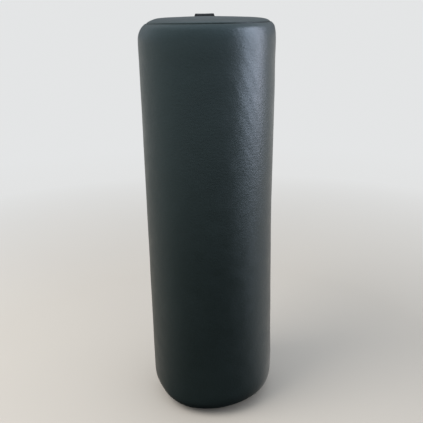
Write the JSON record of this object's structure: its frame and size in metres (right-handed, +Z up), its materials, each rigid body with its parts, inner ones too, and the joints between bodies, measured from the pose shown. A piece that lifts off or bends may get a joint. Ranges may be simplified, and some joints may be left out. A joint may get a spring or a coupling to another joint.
{
  "type": "bolster pillow",
  "caption": "Firm round massage bolster in a smooth dark leatherette cover with sewn end caps, a long back zip and a small webbing carry loop at the top seam.",
  "frame": {"origin": "centre of the flat bottom end that the bolster stands on", "axes": "+Z up along the bolster's axis, -Y to the front that is seen, +Y to the back with the zip and the carry loop, +X to the viewer's right"},
  "size_m": [0.2, 0.2047, 0.6285],
  "materials": {
    "foam": "matte",
    "wadding": "matte",
    "leatherette": "satin",
    "thread": "satin",
    "zip_tape": "matte",
    "zip_coil": "satin",
    "zip_metal": "satin",
    "webbing": "matte"
  },
  "bodies": {
    "bolster": {"foam_core": "foam", "wadding_wrap": "wadding", "top_wadding_pad": "wadding", "bottom_wadding_pad": "wadding", "cover_tube": "leatherette", "top_end_cap": "leatherette", "bottom_end_cap": "leatherette", "top_seam_thread": "thread", "bottom_seam_thread": "thread", "zip_tape_left": "zip_tape", "zip_tape_right": "zip_tape", "zip_coil_left": "zip_coil", "zip_coil_right": "zip_coil", "zip_top_stops": "zip_metal", "zip_bottom_stop": "zip_metal", "zip_topstitching": "thread", "carry_loop_tails": "webbing", "carry_loop_bartack": "thread"},
    "slider": {"zip_slider": "zip_metal"},
    "pull": {"zip_pull": "zip_metal"},
    "loop": {"carry_loop": "webbing"}
  },
  "joints": [
    {"name": "zip_slide", "type": "slide", "parent": "bolster", "child": "slider", "axis": [0, 0, -1], "range_m": [0, 0.478]},
    {"name": "pull_swing", "type": "hinge", "parent": "slider", "child": "pull", "pos_m": [0, 0.10285, 0.551], "axis": [1, 0, 0], "range_deg": [0, 170]},
    {"name": "loop_flex", "type": "hinge", "parent": "bolster", "child": "loop", "pos_m": [0, 0.09, 0.62157], "axis": [1, 0, 0], "range_deg": [-100, 40]}
  ]
}
